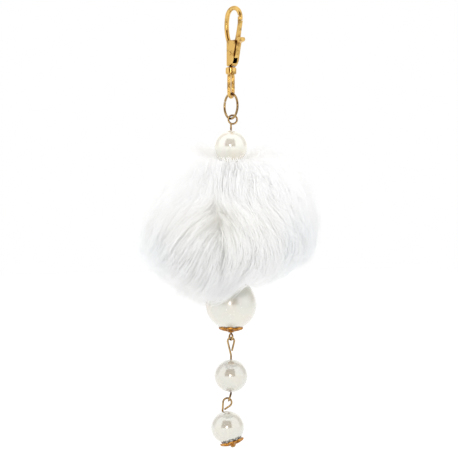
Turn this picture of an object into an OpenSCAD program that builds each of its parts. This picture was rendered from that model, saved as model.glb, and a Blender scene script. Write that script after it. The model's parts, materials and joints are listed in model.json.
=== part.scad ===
// A bag charm: a swivel trigger snap, a split ring, a plush ball between two pearls on one eye pin,
// then a pearl on its own eye pin and a tilted end pearl on a head pin.
// Millimetres. It hangs: +Z is up, Z 0 is the inside of the hook's arch right above the swivel, and the
// swivel's axis is X 0, Y 0. The hook lies in the XZ plane with its gate towards +X. What hangs below the
// swivel is drawn in the plane of the chain's front, chain_turn round from that.

/* [Snap hook] */
// Thickness of the cast hook's round bar
hook_bar_d = 2.0; // [1.8:0.1:2.2]
// Inside radius of the hook's arch
arch_in_r = 3.35; // [3.25:0.05:3.5]
// Width of the body across both cheeks
body_w = 3.9; // [3.8:0.1:4.4]
// Slot between the cheeks
slot_w = 2.2; // [2.1:0.1:2.4]
// Width of the gate in the slot
gate_w = 1.9; // [1.7:0.1:1.9]

/* [Swivel and ring] */
// Diameter of the swivel's collar
collar_d = 4.7; // [4.2:0.1:5.2]
// Thickness of the shackle's bar
shackle_bar_d = 1.6; // [1.4:0.1:1.7]
// Radius of the shackle's bends, to the middle of the bar
shackle_bend_r = 2.25; // [2.2:0.05:2.4]
// Thickness of the split ring's wire
ring_wire_d = 1.0; // [0.8:0.1:1.1]
// Radius of the split ring, to the middle of the wire
ring_r = 5.4; // [5.2:0.1:5.8]
// Way the chain's front faces, round the swivel from the hook's plane
chain_turn = 50; // [0:5:90]

/* [Pins and pearls] */
// Thickness of the eye pins' and the head pin's wire
pin_wire_d = 0.8; // [0.7:0.05:0.8]
// Diameter of the three small pearls
small_pearl_d = 14.2; // [14:0.1:14.4]
// Diameter of the big pearl
large_pearl_d = 22; // [21.8:0.1:22.2]
// Radial room round the wire in each pearl's hole
bore_room = 0.1; // [0.05:0.01:0.1]
// Tilt of the end pearl's pin
end_tilt = 17; // [10:1:20]

/* [Plush ball] */
// Diameter of the ball over the pile
plush_d = 75; // [70:1:80]
// Diameter of the stuffed core at its widest
core_d = 40; // [34:1:46]
// Thickness of the knitted backing
backing_t = 1.0; // [0.8:0.1:1.5]

/* [Hidden] */
$fn = 96;
eps = 0.01;
// Gap between two wires that hang in each other
link_gap = 0.1;
// How much a swelling where two bars meet stands proud of them
swell = 0.03;

// Hook: the arch's middle line, and the bowed leg that runs on from it without a step.
bar_r = hook_bar_d / 2;
arch_r = arch_in_r + bar_r;
arch_x = 1.85;
arch_z = -sqrt(arch_in_r * arch_in_r - arch_x * arch_x);
leg_far_x = -2.9;
leg_far_z = -5.95;
leg_dx = arch_x - leg_far_x;
leg_dz = arch_z - leg_far_z;
leg_r = (leg_dx * leg_dx + leg_dz * leg_dz - arch_r * arch_r) / (2 * (leg_dx - arch_r));
leg_cx = leg_far_x + leg_r;
leg_join = atan2(leg_dz, arch_x - leg_cx);
nose_z = -3.85;
nose_wall_x = arch_x + arch_r + 0.1;
rebate_z = -2.0;

// Body of the snap: cheeks, slot, base plate and the chamber of the swivel's head.
body_top = -12.4;
body_bottom = -23.5;
plate_top = -22.2;
chamber_top = -20.6;
chamber_r = 1.4;
back_wall_x = -0.9;
base_round = 0.9;
leg_end_z = -13.0;
leg_end_x = leg_cx - sqrt(leg_r * leg_r - pow(leg_end_z - leg_far_z, 2));

// Gate and its rivet.
rivet_x = 1.5;
rivet_z = -18;
rivet_r = 0.5;
rivet_head_r = 0.85;
rivet_head_t = 0.25;
gate_arm_w = 1.6;
tab_w = 2.2;
tab_x = 7.15;
tab_z = -12.2;
tab_r = 0.95;
hub_r = 1.25;

// Closing spring.
spring_z = -15;
spring_r = 0.72;
spring_wire_d = 0.24;
spring_turns = 6;
spring_end_x = 2.35;

// Swivel and shackle.
stem_r = 0.75;
stem_room = 0.05;
stem_head_r = 1.15;
stem_head_bottom = plate_top + 0.15;
stem_head_top = -21.0;
collar_top = body_bottom - 0.3;
collar_bottom = -26.85;
collar_bevel = 0.4;
shackle_r = shackle_bar_d / 2;
shackle_turn = chain_turn + 68;
shackle_low_z = -37.35 + shackle_r;
shackle_high_z = -28.3;

// Split ring.
ring_bar_r = ring_wire_d / 2;
ring_turn = chain_turn - 59;
ring_top_z = shackle_low_z + shackle_r + ring_bar_r + 2 * link_gap;
ring_z = ring_top_z - ring_r;
ring_low_z = ring_z - ring_r;
ring_split_at = 158;
ring_split = 3.5;

// Main eye pin: a loop set to one side above, and a small centred loop below.
wire_r = pin_wire_d / 2;
loop1_r = 1.85;
loop1_x = 0.75;
loop1_in = loop1_r - (ring_bar_r + wire_r + link_gap);
loop1_z = ring_low_z - sqrt(loop1_in * loop1_in - loop1_x * loop1_x);
loop1_foot_z = loop1_z - sqrt(loop1_r * loop1_r - loop1_x * loop1_x);
loop1_foot_at = atan2(loop1_foot_z - loop1_z, -loop1_x);
loop_split = 8;
loop2_r = 1.3;
loop2_z = -139.65;
loop2_turn = chain_turn - 58;
loop2_low_z = loop2_z - loop2_r;

// Pearls on the main pin, and the stuffed core between them.
small_r = small_pearl_d / 2;
large_r = large_pearl_d / 2;
bore_r = wire_r + bore_room;
bead_top_z = -57.75;
bead_large_z = -125.55;
core_gap = 0.3;
core_high = bead_top_z - small_r - core_gap;
core_low = bead_large_z + large_r + core_gap;
core_z = (core_high + core_low) / 2;
core_half = (core_high - core_low) / 2;
neck_r = 4.5;
skin_gap = 0.1;
thread_r = 0.35;
thread_ring_r = neck_r + thread_r + skin_gap;
thread_up = core_half - 1.6;

// Pile of the fur.
plush_r = plush_d / 2;
plush_z = -90.75;
flat_r = 1.32 * plush_r;
flat_z = plush_z - plush_r + 4.2 + flat_r;
turn_r = 18;
turn_dz = (pow(plush_r - turn_r, 2) - pow(flat_r - turn_r, 2) + pow(flat_z - plush_z, 2))
    / (2 * (flat_z - plush_z));
turn_x = sqrt(pow(plush_r - turn_r, 2) - turn_dz * turn_dz);
turn_z = plush_z + turn_dz;
nest_gap = 0.4;

// Bead cap, drawn about the centre of the sphere it was pressed to, with its pole down.
cap_in_r = 11.15;
cap_t = 0.6;
cap_d = 10.5;
cap_petals = 8;
cap_hub_r = 1.15;
cap_hub_low = -12.2;
cap_gap = 0.15;

// Middle eye pin and its pearl.
loop3_r = 1.4;
loop3_z = loop2_low_z + 2 * wire_r + link_gap - loop3_r;
loop3_apex = 6;
bead_middle_z = -156.35;
loop4_r = 1.65;
loop4_lean = 17;
loop4_top_z = bead_middle_z - small_r - 0.1 - wire_r;
loop4_low_x = -2 * loop4_r * sin(loop4_lean);
loop4_low_z = loop4_top_z - 2 * loop4_r * cos(loop4_lean);

// End head pin and its pearl, about the lowest point of the leaning loop above.
loop5_x = -0.6;
loop5_dz = -0.7;
loop5_r = 2 * wire_r + link_gap + sqrt(loop5_x * loop5_x + loop5_dz * loop5_dz);
bead_end_dx = -0.5;
bead_end_dz = -11.4;
end_stem = small_r + 0.35;
apex_x = bead_end_dx - end_stem * sin(end_tilt);
apex_dz = bead_end_dz + end_stem * cos(end_tilt);
loop5_apex = sqrt(pow(apex_x - loop5_x, 2) + pow(apex_dz - loop5_dz, 2));
loop5_lean = atan2(loop5_x - apex_x, loop5_dz - apex_dz);
pin_head_r = 1.1;
pin_head_t = 0.5;

// Turns a flat drawing in X and Y, or an arc in it, up into the XZ plane.
module upright() {
    rotate([90, 0, 0]) children();
}

// A round bar bent to an arc in the XZ plane.
module bend(r, bar, from, sweep) {
    upright() rotate_extrude(start = from, angle = sweep) translate([r, 0]) circle(bar);
}

// A flat shape in X and Z, given thickness w across Y.
module plate(w) {
    upright() linear_extrude(w, center = true) children();
}

// A loop of wire that narrows to a point a distance d under its centre. One side runs down into the
// stem, and the other is cut off where it meets that side.
module teardrop(r, d) {
    half = acos(r / d);
    straight = sqrt(d * d - r * r);
    cut_at = (wire_r + swell) / cos(half);
    bend(r, wire_r, -90 + half, 360 - 2 * half);
    translate([0, 0, -d]) {
        rotate([0, half - 90, 0]) cylinder(h = straight, r = wire_r);
        rotate([0, 90 - half, 0]) translate([0, 0, cut_at]) cylinder(h = straight - cut_at, r = wire_r);
        sphere(wire_r + swell);
    }
    for (side = [-1, 1]) {
        translate([side * r * sin(half), 0, -r * cos(half)]) sphere(wire_r + swell);
    }
}

// Places what hangs in the chain's front plane.
module front() {
    rotate([0, 0, chain_turn]) children();
}

// Places what is on the end pin, about the end pearl's centre, with the pin along Z.
module on_end_pin() {
    front() translate([loop4_low_x + bead_end_dx, 0, loop4_low_z + bead_end_dz])
        rotate([0, -end_tilt, 0]) children();
}

module clasp_hook_body() {
    color("gold") difference() {
        union() {
            translate([arch_x, 0, arch_z]) bend(arch_r, bar_r, 0, leg_join);
            translate([arch_x + arch_r, 0, nose_z]) cylinder(h = arch_z - nose_z, r = bar_r);
            translate([leg_cx, 0, leg_far_z])
                bend(leg_r, bar_r, leg_join, 180 + asin((leg_far_z - leg_end_z) / leg_r) - leg_join);
            translate([arch_x + arch_r * cos(leg_join), 0, arch_z + arch_r * sin(leg_join)])
                sphere(bar_r + swell);
            translate([leg_end_x, 0, leg_end_z]) sphere(bar_r + swell);
            snap_body();
        }
        // Rebate in the nose that the gate's tongue closes into.
        translate([nose_wall_x - 2 * bar_r, -2 * bar_r, nose_z - 1])
            cube([2 * bar_r, 4 * bar_r, rebate_z - nose_z + 1]);
        // Slot between the cheeks, chamber of the swivel's head, and hole for its stem.
        translate([back_wall_x, -slot_w / 2, plate_top])
            cube([8, slot_w, body_top - plate_top + eps]);
        translate([0, 0, plate_top]) cylinder(h = chamber_top - plate_top, r = chamber_r);
        translate([0, 0, body_bottom - 1]) cylinder(h = 4, r = stem_r + stem_room);
        translate([rivet_x, body_w, rivet_z]) upright() cylinder(h = 2 * body_w, r = rivet_r);
    }
}

// The round back with its rounded foot, and the two cheeks before the slot parts them.
module snap_body() {
    r = body_w / 2;
    translate([0, 0, body_bottom + base_round])
        cylinder(h = body_top - body_bottom - base_round, r = r);
    translate([0, 0, body_bottom + base_round])
        rotate_extrude() translate([r - base_round, 0]) circle(base_round);
    translate([0, 0, body_bottom]) cylinder(h = base_round + eps, r = r - base_round);
    plate(body_w) {
        polygon([
            [0, body_top], [4.2, body_top], [4.75, body_top - 0.55], [2.95, -20.9],
            [2.2, -22.4], [0.9, body_bottom], [0, body_bottom]
        ]);
    }
}

module clasp_gate() {
    color("goldenrod") difference() {
        union() {
            plate(gate_arm_w) {
                polygon([
                    [5.4, -2.45], [6.0, -2.45], [6.0, -4.15], [6.95, -4.15], [6.1, -7.7],
                    [5.45, -10.9], [5.3, -13.0], [3.35, -13.0], [4.6, -8.7], [5.4, -5.2]
                ]);
            }
            plate(gate_w) {
                polygon([
                    [5.35, -12.0], [5.0, -13.9], [4.15, -18.9], [3.3, -20.0], [1.5, rivet_z - hub_r],
                    [0.4, -17.4], [2.35, -16.0], [3.25, -13.1], [3.6, -12.0]
                ]);
                translate([rivet_x, rivet_z]) circle(hub_r);
            }
            plate(tab_w) {
                translate([tab_x, tab_z]) circle(tab_r);
                polygon([
                    [4.9, -11.3], [tab_x, tab_z + tab_r], [tab_x, tab_z - tab_r], [4.85, -13.9]
                ]);
            }
        }
        translate([rivet_x, body_w, rivet_z]) upright() cylinder(h = 2 * body_w, r = rivet_r + 0.06);
    }
}

module clasp_gate_pin() {
    color("darkgoldenrod") translate([rivet_x, 0, rivet_z]) upright() {
        cylinder(h = body_w + 2 * rivet_head_t, r = rivet_r, center = true);
        for (side = [0, 180]) {
            rotate([side, 0, 0]) translate([0, 0, body_w / 2])
                cylinder(h = rivet_head_t, r1 = rivet_head_r, r2 = rivet_head_r - 0.2);
        }
    }
}

// One ring of points round the spring's wire, a part t of the way along its coil.
function coil_ring(t, sides) = [
    for (k = [0 : sides - 1])
        let (
            turn = 360 * spring_turns * t,
            round_at = 360 * k / sides,
            reach = spring_r + spring_wire_d / 2 * cos(round_at),
            length = spring_end_x - back_wall_x - spring_wire_d
        )
        [
            back_wall_x + spring_wire_d / 2 + eps + length * t + spring_wire_d / 2 * sin(round_at),
            reach * cos(turn),
            reach * sin(turn)
        ]
];

module clasp_gate_spring() {
    steps = 24 * spring_turns;
    sides = 8;
    points = [for (i = [0 : steps]) each coil_ring(i / steps, sides)];
    walls = [
        for (i = [0 : steps - 1], k = [0 : sides - 1])
            let (a = i * sides + k, b = i * sides + (k + 1) % sides)
            [a, b, b + sides, a + sides]
    ];
    first = [for (k = [sides - 1 : -1 : 0]) k];
    last = [for (k = [0 : sides - 1]) steps * sides + k];
    color("silver") translate([0, 0, spring_z])
        polyhedron(points = points, faces = concat(walls, [first, last]), convexity = 10);
}

module swivel_shackle() {
    color("gold") {
        translate([0, 0, collar_bottom + collar_bevel])
            cylinder(h = collar_top - collar_bottom - 2 * collar_bevel, r = collar_d / 2);
        translate([0, 0, collar_top - collar_bevel])
            cylinder(h = collar_bevel, r1 = collar_d / 2, r2 = collar_d / 2 - collar_bevel);
        translate([0, 0, collar_bottom])
            cylinder(h = collar_bevel, r1 = collar_d / 2 - collar_bevel, r2 = collar_d / 2);
        translate([0, 0, collar_top - eps])
            cylinder(h = stem_head_bottom - collar_top + 2 * eps, r = stem_r);
        translate([0, 0, stem_head_bottom])
            cylinder(h = stem_head_top - stem_head_bottom, r1 = stem_head_r, r2 = stem_head_r - 0.3);
        rotate([0, 0, shackle_turn]) {
            translate([0, 0, shackle_low_z + shackle_bend_r]) bend(shackle_bend_r, shackle_r, 180, 180);
            translate([0, 0, shackle_high_z]) bend(shackle_bend_r, shackle_r, 0, 180);
            for (side = [-1, 1]) {
                translate([side * shackle_bend_r, 0, shackle_low_z + shackle_bend_r])
                    cylinder(h = shackle_high_z - shackle_low_z - shackle_bend_r, r = shackle_r);
            }
        }
    }
}

module jump_ring() {
    color("gold") rotate([0, 0, ring_turn]) translate([0, 0, ring_z])
        bend(ring_r, ring_bar_r, ring_split_at + ring_split / 2, 360 - ring_split);
}

module main_eye_pin() {
    color("gold") {
        front() translate([loop1_x, 0, loop1_z])
            bend(loop1_r, wire_r, loop1_foot_at + loop_split, 360 - loop_split);
        translate([0, 0, loop2_z + loop2_r])
            cylinder(h = loop1_foot_z - loop2_z - loop2_r, r = wire_r);
        front() translate([0, 0, loop1_foot_z]) sphere(wire_r + swell);
        rotate([0, 0, loop2_turn]) translate([0, 0, loop2_z])
            bend(loop2_r, wire_r, 90 + loop_split / 2, 360 - loop_split);
        translate([0, 0, loop2_z + loop2_r]) sphere(wire_r + swell);
    }
}

// A pearl about its own centre, bored along Z.
module pearl(r) {
    color("ivory") difference() {
        sphere(r);
        cylinder(h = 2 * r + 2, r = bore_r, center = true);
    }
}

module bead_top() {
    translate([0, 0, bead_top_z]) pearl(small_r);
}

// Half of the core's outline, g outside its own skin: a ball with a gathered neck at each end.
module core_outline(g) {
    intersection() {
        union() {
            circle(core_d / 2 + g);
            square([2 * neck_r + 2 * g, 2 * core_half + 2 * g], center = true);
        }
        translate([0, -core_d]) square([core_d, 2 * core_d]);
    }
}

module thread(side, g) {
    translate([0, 0, core_z + side * thread_up])
        rotate_extrude() translate([thread_ring_r, 0]) circle(thread_r + g);
}

module pompom_backing() {
    color("whitesmoke") difference() {
        translate([0, 0, core_z]) rotate_extrude() core_outline(0);
        translate([0, 0, core_z]) rotate_extrude() core_outline(-backing_t);
        translate([0, 0, core_z]) cylinder(h = 4 * core_half, r = bore_r, center = true);
    }
}

module pompom_stuffing() {
    color("white") translate([0, 0, core_z]) difference() {
        rotate_extrude() core_outline(-backing_t - skin_gap);
        cylinder(h = 4 * core_half, r = bore_r, center = true);
    }
}

// Half of the ball's outline: a circle with a flatter arc below, and a round turn between the two.
module plush_outline() {
    far = 1.6;
    side = far * plush_r / (plush_r - turn_r);
    low = far * flat_r / (flat_r - turn_r);
    difference() {
        intersection() {
            translate([0, plush_z]) circle(plush_r);
            translate([0, flat_z]) circle(flat_r);
            translate([0, -2 * plush_r + plush_z]) square([2 * plush_r, 4 * plush_r]);
        }
        polygon([
            [turn_x, turn_z],
            [side * turn_x, plush_z + side * (turn_z - plush_z)],
            [low * turn_x, flat_z + low * (turn_z - flat_z)]
        ]);
    }
    translate([turn_x, turn_z]) circle(turn_r - eps);
}

module pompom_fur() {
    color("snow") difference() {
        rotate_extrude() intersection() {
            plush_outline();
            translate([0, 2 * plush_z]) square([2 * plush_r, -4 * plush_z]);
        }
        translate([0, 0, core_z]) rotate_extrude() core_outline(skin_gap);
        thread(1, skin_gap);
        thread(-1, skin_gap);
        translate([0, 0, bead_top_z]) sphere(small_r + nest_gap);
        translate([0, 0, bead_top_z]) cylinder(h = plush_r, r = small_r + nest_gap);
        translate([0, 0, bead_large_z]) sphere(large_r + nest_gap);
        translate([0, 0, core_z]) cylinder(h = 2 * core_half + 4, r = bore_r, center = true);
    }
}

module pompom_thread_top() {
    color("beige") thread(1, 0);
}

module pompom_thread_bottom() {
    color("beige") thread(-1, 0);
}

module bead_large() {
    translate([0, 0, bead_large_z]) pearl(large_r);
}

// A pressed bead cap about the centre of its sphere, with a scalloped rim and pierced petals.
module bead_cap() {
    rim_r = cap_d / 2;
    color("gold") difference() {
        union() {
            intersection() {
                difference() {
                    sphere(cap_in_r + cap_t);
                    sphere(cap_in_r);
                }
                translate([0, 0, -cap_in_r - 2]) cylinder(h = 4, r = rim_r);
            }
            translate([0, 0, cap_hub_low]) cylinder(h = -cap_hub_low - cap_in_r - cap_t / 2, r = cap_hub_r);
        }
        for (k = [0 : cap_petals - 1]) {
            rotate([0, 0, 360 * (k + 0.5) / cap_petals]) {
                translate([rim_r + 0.25, 0, -15]) cylinder(h = 8, r = 0.85);
                translate([2.35, 0, -15]) cylinder(h = 8, r = 0.4);
            }
            rotate([0, 0, 360 * k / cap_petals]) translate([3.75, 0, -15]) cylinder(h = 8, r = 0.75);
        }
        translate([0, 0, -15]) cylinder(h = 8, r = bore_r);
    }
}

module cap_large() {
    translate([0, 0, bead_large_z - large_r - cap_gap + cap_in_r]) bead_cap();
}

module middle_eye_pin() {
    color("gold") {
        front() translate([0, 0, loop3_z]) teardrop(loop3_r, loop3_apex);
        translate([0, 0, loop4_top_z])
            cylinder(h = loop3_z - loop3_apex - loop4_top_z, r = wire_r);
        front() translate([0, 0, loop4_top_z]) rotate([0, loop4_lean, 0])
            translate([0, 0, -loop4_r]) rotate([0, 0, 90])
                bend(loop4_r, wire_r, 90 + loop_split / 2, 360 - loop_split);
        translate([0, 0, loop4_top_z]) sphere(wire_r + swell);
    }
}

module bead_middle() {
    translate([0, 0, bead_middle_z]) pearl(small_r);
}

module end_head_pin() {
    below = -small_r - cap_gap + cap_in_r + cap_hub_low - 0.1;
    color("gold") {
        front() translate([loop4_low_x + loop5_x, 0, loop4_low_z + loop5_dz])
            rotate([0, loop5_lean, 0]) teardrop(loop5_r, loop5_apex);
        on_end_pin() {
            translate([0, 0, below - eps]) cylinder(h = end_stem - below + eps, r = wire_r);
            translate([0, 0, below - pin_head_t])
                cylinder(h = pin_head_t, r1 = pin_head_r - 0.35, r2 = pin_head_r);
        }
    }
}

module bead_end() {
    on_end_pin() pearl(small_r);
}

module cap_end() {
    on_end_pin() translate([0, 0, -small_r - cap_gap + cap_in_r]) bead_cap();
}

clasp_hook_body();
clasp_gate();
clasp_gate_pin();
clasp_gate_spring();
swivel_shackle();
jump_ring();
main_eye_pin();
bead_top();
pompom_backing();
pompom_stuffing();
pompom_fur();
pompom_thread_top();
pompom_thread_bottom();
bead_large();
cap_large();
middle_eye_pin();
bead_middle();
end_head_pin();
bead_end();
cap_end();
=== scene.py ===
"""Looks for the plush ball charm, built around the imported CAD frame.

Fur work is done in a frame of the ball's own, in millimetres: its first axis runs to the right of the
chain's front, its second up and its third out of the front, and 0 is the ball's centre on the pin. A unit
direction there is (a, b, c), and a point is (x, y, z).
"""
import json
import math

import bmesh
import bpy
import numpy as np
from mathutils import Matrix, Vector


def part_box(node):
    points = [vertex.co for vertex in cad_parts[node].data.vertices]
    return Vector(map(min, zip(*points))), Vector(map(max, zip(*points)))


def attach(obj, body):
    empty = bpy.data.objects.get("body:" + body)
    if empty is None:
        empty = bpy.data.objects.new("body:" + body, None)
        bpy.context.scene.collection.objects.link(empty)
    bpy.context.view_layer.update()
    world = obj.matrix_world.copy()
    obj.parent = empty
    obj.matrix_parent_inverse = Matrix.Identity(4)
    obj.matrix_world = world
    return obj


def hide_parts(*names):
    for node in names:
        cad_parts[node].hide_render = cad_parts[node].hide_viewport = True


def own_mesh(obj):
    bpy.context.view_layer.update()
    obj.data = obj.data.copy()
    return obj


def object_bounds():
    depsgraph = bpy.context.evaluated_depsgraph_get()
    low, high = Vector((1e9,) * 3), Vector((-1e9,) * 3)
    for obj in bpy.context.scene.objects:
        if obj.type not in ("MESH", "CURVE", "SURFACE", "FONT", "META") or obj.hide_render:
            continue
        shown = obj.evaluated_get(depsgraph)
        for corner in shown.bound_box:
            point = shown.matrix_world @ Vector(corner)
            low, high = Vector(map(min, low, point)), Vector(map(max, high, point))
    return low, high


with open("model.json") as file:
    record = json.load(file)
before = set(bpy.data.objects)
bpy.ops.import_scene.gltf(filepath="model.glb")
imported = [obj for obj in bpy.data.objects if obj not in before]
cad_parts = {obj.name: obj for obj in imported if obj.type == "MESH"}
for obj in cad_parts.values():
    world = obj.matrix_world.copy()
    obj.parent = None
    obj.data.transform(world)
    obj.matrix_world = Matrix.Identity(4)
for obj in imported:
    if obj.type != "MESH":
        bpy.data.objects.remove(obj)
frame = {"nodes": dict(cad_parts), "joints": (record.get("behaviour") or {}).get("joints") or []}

MM = 0.001
CAD_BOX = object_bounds()
NODES = frame["nodes"]
JOINTS = {j["name"]: j for j in frame["joints"]}
scene = bpy.context.scene

FRONT_AZIMUTH = math.radians(50)
RIGHT = np.array([math.cos(FRONT_AZIMUTH), math.sin(FRONT_AZIMUTH), 0.0])
TOWARD = np.array([math.sin(FRONT_AZIMUTH), -math.cos(FRONT_AZIMUTH), 0.0])
UP = np.array([0.0, 0.0, 1.0])
VIEW_TO_ROW = np.stack([RIGHT, UP, TOWARD])


# ---------------------------------------------------------------- meshes

def unit(v):
    return v / np.maximum(np.linalg.norm(v, axis=-1, keepdims=True), 1e-12)


def mesh_object(name, verts, tris, smooth=True, slots=None):
    """A triangle mesh from arrays, in metres. slots gives each triangle's material slot."""
    me = bpy.data.meshes.new(name)
    me.vertices.add(len(verts))
    me.vertices.foreach_set("co", np.asarray(verts, np.float32).ravel())
    me.loops.add(3 * len(tris))
    me.loops.foreach_set("vertex_index", np.asarray(tris, np.int32).ravel())
    me.polygons.add(len(tris))
    me.polygons.foreach_set("loop_start", np.arange(0, 3 * len(tris), 3, dtype=np.int32))
    if slots is not None:
        me.polygons.foreach_set("material_index", np.asarray(slots, np.int32))
    me.polygons.foreach_set("use_smooth", np.full(len(tris), smooth))
    me.update(calc_edges=True)
    me.validate()
    ob = bpy.data.objects.new(name, me)
    scene.collection.objects.link(ob)
    return ob


def across_of(v, ahead):
    """The part of directions v that is square to directions ahead, at unit length."""
    return unit(v - (v * ahead).sum(-1, keepdims=True) * ahead)


def heading(lines):
    """Which way each line (n, k, 3) runs at each of its points."""
    ahead = np.empty_like(lines)
    ahead[:, 1:-1] = lines[:, 2:] - lines[:, :-2]
    ahead[:, 0] = lines[:, 1] - lines[:, 0]
    ahead[:, -1] = lines[:, -1] - lines[:, -2]
    return unit(ahead)


def carry(ahead, first):
    """A direction across each line, first at its start, carried along it without twist."""
    across = np.empty_like(ahead)
    across[:, 0] = first
    for i in range(1, ahead.shape[1]):
        across[:, i] = across_of(across[:, i - 1], ahead[:, i])
    return across


def tubes(lines, radii, sides, closed=False, taper=False):
    """Closed tubes along many lines at once: lines (n, k, 3), radii (n, k) or (k,).
    closed joins each line's ends; taper ends each in a point."""
    n, k, _ = lines.shape
    radii = np.broadcast_to(radii, (n, k))
    if closed:
        ahead = unit(np.roll(lines, -1, 1) - np.roll(lines, 1, 1))
    else:
        ahead = heading(lines)
    start = np.where(np.abs(ahead[:, 0, 2:3]) < 0.9, [[0.0, 0.0, 1.0]], [[1.0, 0.0, 0.0]])
    across = carry(ahead, unit(np.cross(ahead[:, 0], start)))
    if closed:
        up0 = np.cross(ahead[:, 0], across[:, 0])
        last = across[:, -1] - (across[:, -1] * ahead[:, 0]).sum(-1, keepdims=True) * ahead[:, 0]
        slip = np.arctan2((last * up0).sum(-1), (last * across[:, 0]).sum(-1))
        turn = -slip[:, None] * np.arange(k)[None] / k
        side = np.cross(ahead, across)
        across = across * np.cos(turn)[..., None] + side * np.sin(turn)[..., None]
    side = np.cross(ahead, across)
    at = 2 * np.pi * np.arange(sides) / sides
    ring = across[:, :, None] * np.cos(at)[:, None] + side[:, :, None] * np.sin(at)[:, None]
    points = lines[:, :, None] + ring * radii[:, :, None, None]
    rings = k - 1 if taper else k
    per = rings * sides + (1 if taper else 0)
    body = points[:, :rings].reshape(n, rings * sides, 3)
    verts = np.concatenate([body, lines[:, -1:]], 1) if taper else body
    faces = []
    spans = rings if closed else rings - 1
    for i in range(spans):
        for s in range(sides):
            p, q = i * sides + s, i * sides + (s + 1) % sides
            j = (i + 1) % rings
            r, t = j * sides + s, j * sides + (s + 1) % sides
            faces += [(p, q, t), (p, t, r)]
    if not closed:
        faces += [(0, s + 1, s) for s in range(1, sides - 1)]
        base = (rings - 1) * sides
        if taper:
            faces += [(base + s, base + (s + 1) % sides, rings * sides) for s in range(sides)]
        else:
            faces += [(base, base + s, base + s + 1) for s in range(1, sides - 1)]
    faces = np.array(faces)
    tris = (faces[None] + (np.arange(n) * per)[:, None, None]).reshape(-1, 3)
    return verts.reshape(-1, 3), tris, len(faces)


# ---------------------------------------------------------------- materials

class Nodes:
    """A short way to write a material's nodes."""

    def __init__(self, name):
        self.mat = bpy.data.materials.new(name)
        self.mat.use_nodes = True
        self.tree = self.mat.node_tree
        self.tree.nodes.clear()
        self.out = self.add("ShaderNodeOutputMaterial")
        self.bsdf = self.add("ShaderNodeBsdfPrincipled")
        self.link(self.bsdf, "BSDF", self.out, "Surface")

    def add(self, kind, **values):
        n = self.tree.nodes.new(kind)
        for key, value in values.items():
            setattr(n, key, value)
        return n

    def link(self, a, out, b, inp):
        self.tree.links.new(a.outputs[out], b.inputs[inp])

    def set(self, **values):
        for key, value in values.items():
            self.bsdf.inputs[key.replace("_", " ")].default_value = value

    def place(self, scale=(1, 1, 1)):
        coord = self.add("ShaderNodeTexCoord")
        mapping = self.add("ShaderNodeMapping")
        mapping.inputs["Scale"].default_value = scale
        self.link(coord, "Object", mapping, "Vector")
        return mapping

    def noise(self, scale, detail=4.0, rough=0.55, stretch=(1, 1, 1), warp=0.0):
        n = self.add("ShaderNodeTexNoise")
        n.inputs["Scale"].default_value = scale
        n.inputs["Detail"].default_value = detail
        n.inputs["Roughness"].default_value = rough
        n.inputs["Distortion"].default_value = warp
        self.link(self.place(stretch), "Vector", n, "Vector")
        return n

    def ramp(self, source, out, stops):
        r = self.add("ShaderNodeValToRGB")
        r.color_ramp.elements[0].position, r.color_ramp.elements[0].color = stops[0][0], stops[0][1]
        r.color_ramp.elements[1].position, r.color_ramp.elements[1].color = stops[-1][0], stops[-1][1]
        for at, colour in stops[1:-1]:
            r.color_ramp.elements.new(at).color = colour
        self.link(source, out, r, "Fac")
        return r

    def spread(self, source, out, low, high):
        m = self.add("ShaderNodeMapRange")
        m.inputs["To Min"].default_value = low
        m.inputs["To Max"].default_value = high
        m.inputs["From Min"].default_value = 0.3
        m.inputs["From Max"].default_value = 0.7
        self.link(source, out, m, "Value")
        return m

    def bump(self, source, out, strength, distance, normal=None):
        b = self.add("ShaderNodeBump")
        b.inputs["Strength"].default_value = strength
        b.inputs["Distance"].default_value = distance
        self.link(source, out, b, "Height")
        if normal is not None:
            self.link(normal, "Normal", b, "Normal")
        self.link(b, "Normal", self.bsdf, "Normal")
        return b


def rgb(r, g, b):
    return (r, g, b, 1.0)


def gold(name, bright, dull, rough, grain, grain_stretch=(1, 1, 1), edge=0.0, dents=0.0, patch=300):
    """Polished gold plating: patches of duller colour, painted shade in corners and crevices with some
    tarnish there, rounded edges, grain and soft dents.
    """
    m = Nodes(name)
    m.set(Metallic=1.0)
    patches = m.noise(patch, 4, 0.55, warp=0.5)
    tint = m.ramp(patches, "Fac", [(0.36, dull), (0.50, bright), (0.68, bright)])
    # Painted shade, partly tarnish: ambient occlusion darkens the colour in corners and crevices.
    corner_shade = m.add("ShaderNodeAmbientOcclusion", samples=8)
    corner_shade.inputs["Distance"].default_value = 0.003
    m.link(tint, "Color", corner_shade, "Color")
    deep_shade = m.ramp(corner_shade, "AO", [(0.2, rgb(0.10, 0.05, 0.02)), (0.65, rgb(0.62, 0.50, 0.40)),
                                  (0.93, rgb(1, 1, 1))])
    mix = m.add("ShaderNodeMix", data_type="RGBA", blend_type="MULTIPLY")
    mix.inputs["Factor"].default_value = 1.0
    m.link(tint, "Color", mix, "A")
    m.link(deep_shade, "Color", mix, "B")
    m.tree.links.new(mix.outputs["Result"], m.bsdf.inputs["Base Color"])
    fine = m.noise(grain, 3, 0.6, grain_stretch)
    shine = m.spread(fine, "Fac", rough * 0.6, rough * 1.5)
    m.link(shine, "Result", m.bsdf, "Roughness")
    normal = None
    if edge:
        normal = m.add("ShaderNodeBevel", samples=6)
        normal.inputs["Radius"].default_value = edge
    if dents:
        soft = m.noise(420, 2, 0.5)
        b = m.bump(soft, "Fac", 0.35, dents, normal)
        m.bump(fine, "Fac", 0.10, 0.00001, b)
    else:
        m.bump(fine, "Fac", 0.10, 0.00001, normal)
    return m.mat


PEARL_TINTS = [(0.28, (0.79, 0.73, 0.66)), (0.45, (0.78, 0.75, 0.66)),
               (0.58, (0.75, 0.75, 0.68)), (0.74, (0.79, 0.73, 0.70))]


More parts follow.
